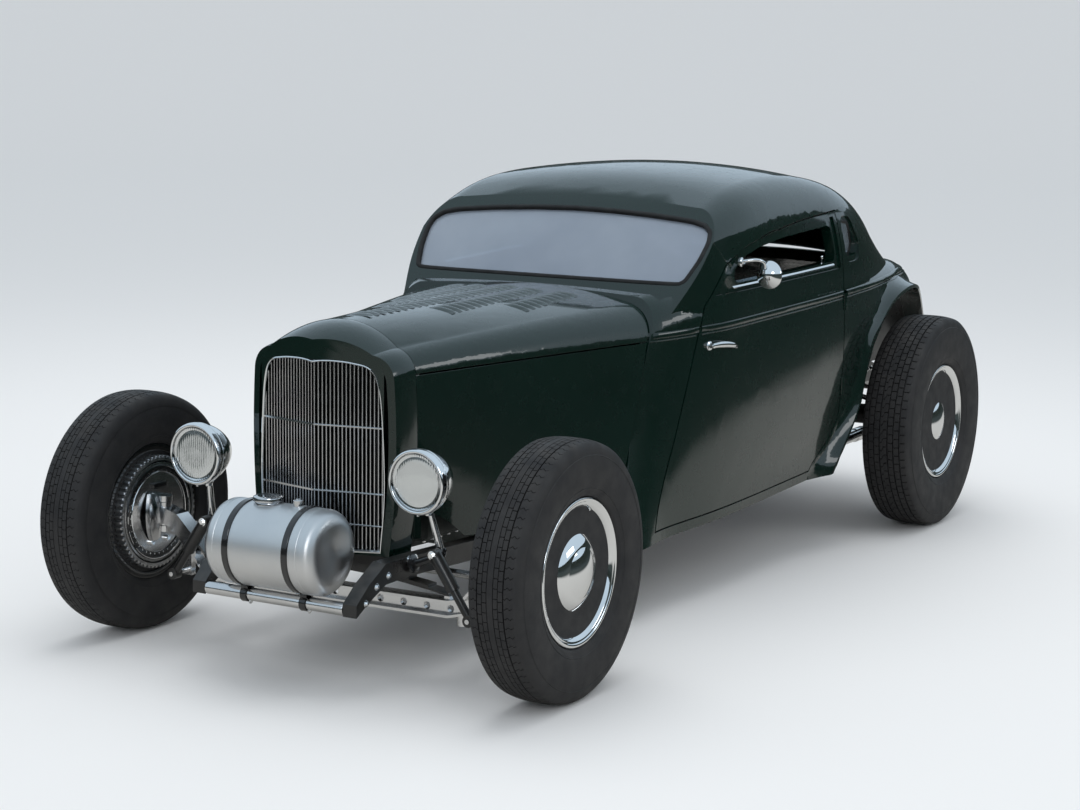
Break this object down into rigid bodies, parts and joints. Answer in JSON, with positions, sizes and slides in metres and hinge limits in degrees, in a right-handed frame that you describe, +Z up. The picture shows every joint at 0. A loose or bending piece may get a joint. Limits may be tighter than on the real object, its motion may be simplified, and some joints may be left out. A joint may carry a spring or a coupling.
{
  "type": "hot rod coupe",
  "caption": "Fenderless chopped coupe with a long hood, V-shaped grille, rear-hinged doors, boot lid, turning wheels and coupled front steering.",
  "frame": {"origin": "on the ground, in the middle of the car's length and width", "axes": "+Z up, the nose toward -Y, +X toward the car's left side"},
  "size_m": [1.6686, 3.9083, 1.3909],
  "materials": {
    "body_paint": "gloss",
    "black_paint": "gloss",
    "wheel_paint": "gloss",
    "chrome": "mirror",
    "polished_steel": "polished",
    "spun_aluminium": "polished",
    "drum_aluminium": "satin",
    "engine_iron": "satin",
    "window_glass": "clear",
    "lens_glass": "clear",
    "red_lens": "gloss",
    "tyre_rubber": "matte",
    "seat_leather": "satin",
    "wheel_rim_plastic": "gloss"
  },
  "bodies": {
    "root": {"roof": "body_paint", "cowl": "body_paint", "quarter_left": "body_paint", "quarter_right": "body_paint", "hood_top": "body_paint", "hood_sides": "body_paint", "grille_shell": "body_paint", "grille_bars": "chrome", "radiator": "black_paint", "body_glass": "window_glass", "frame": "black_paint", "front_axle": "polished_steel", "springs": "black_paint", "spreader_bar": "polished_steel", "fuel_tank": "spun_aluminium", "tank_straps": "black_paint", "headlamps": "chrome", "headlamp_lenses": "lens_glass", "front_shocks": "black_paint", "radius_rods": "black_paint", "rear_axle": "black_paint", "driveshaft": "black_paint", "engine": "engine_iron", "floor": "black_paint", "dashboard": "body_paint", "seat": "seat_leather", "steering_column": "black_paint", "exhausts": "polished_steel", "tail_lamps": "red_lens"},
    "door_left": {"door_left": "body_paint", "door_brightwork_left": "chrome"},
    "door_right": {"door_right": "body_paint", "door_brightwork_right": "chrome"},
    "deck_lid": {"deck_lid": "body_paint"},
    "knuckle_left": {"knuckle_left": "black_paint"},
    "knuckle_right": {"knuckle_right": "black_paint"},
    "tie_rod": {"tie_rod": "polished_steel"},
    "steering_wheel": {"steering_wheel": "wheel_rim_plastic"},
    "wheel_front_left": {"wheel_front_left": "wheel_paint", "tyre_front_left": "tyre_rubber", "brightwork_front_left": "chrome", "drum_front_left": "drum_aluminium"},
    "wheel_front_right": {"wheel_front_right": "wheel_paint", "tyre_front_right": "tyre_rubber", "brightwork_front_right": "chrome", "drum_front_right": "drum_aluminium"},
    "wheel_rear_left": {"wheel_rear_left": "wheel_paint", "tyre_rear_left": "tyre_rubber", "brightwork_rear_left": "chrome"},
    "wheel_rear_right": {"wheel_rear_right": "wheel_paint", "tyre_rear_right": "tyre_rubber", "brightwork_rear_right": "chrome"}
  },
  "joints": [
    {"name": "door_left_hinge", "type": "hinge", "parent": "root", "child": "door_left", "pos_m": [0.641, 0.656, 0.752], "axis": [0, 0, 1], "range_deg": [0, 65]},
    {"name": "door_right_hinge", "type": "hinge", "parent": "root", "child": "door_right", "pos_m": [-0.641, 0.656, 0.752], "axis": [0, 0, -1], "range_deg": [0, 65]},
    {"name": "deck_lid_hinge", "type": "hinge", "parent": "root", "child": "deck_lid", "pos_m": [0, 1.398, 1.01], "axis": [1, 0, 0], "range_deg": [0, 60]},
    {"name": "steer_left", "type": "hinge", "parent": "root", "child": "knuckle_left", "pos_m": [0.64, -1.553, 0.366], "axis": [0, 0, 1], "range_deg": [-28, 28]},
    {"name": "steer_right", "type": "hinge", "parent": "root", "child": "knuckle_right", "pos_m": [-0.64, -1.553, 0.366], "axis": [0, 0, 1], "range_deg": [-28, 28]},
    {"name": "tie_rod_pivot", "type": "hinge", "parent": "knuckle_left", "child": "tie_rod", "pos_m": [0.64, -1.403, 0.302], "axis": [0, 0, 1], "range_deg": [-28, 28]},
    {"name": "steering_wheel_turn", "type": "hinge", "parent": "root", "child": "steering_wheel", "pos_m": [0.33, 0.007, 0.905], "axis": [0.0573, 0.8601, 0.5069], "range_deg": [-336, 336]},
    {"name": "wheel_front_left_spin", "type": "hinge", "parent": "knuckle_left", "child": "wheel_front_left", "pos_m": [0.747, -1.553, 0.366], "axis": [1, 0, 0], "continuous": true},
    {"name": "wheel_front_right_spin", "type": "hinge", "parent": "knuckle_right", "child": "wheel_front_right", "pos_m": [-0.747, -1.553, 0.366], "axis": [1, 0, 0], "continuous": true},
    {"name": "wheel_rear_left_spin", "type": "hinge", "parent": "root", "child": "wheel_rear_left", "pos_m": [0.712, 1.292, 0.4], "axis": [1, 0, 0], "continuous": true},
    {"name": "wheel_rear_right_spin", "type": "hinge", "parent": "root", "child": "wheel_rear_right", "pos_m": [-0.712, 1.292, 0.4], "axis": [1, 0, 0], "continuous": true}
  ],
  "couplings": [
    {"joint": "steer_right", "follows": "steer_left", "ratio": 1},
    {"joint": "tie_rod_pivot", "follows": "steer_left", "ratio": -1},
    {"joint": "steering_wheel_turn", "follows": "steer_left", "ratio": 12}
  ]
}
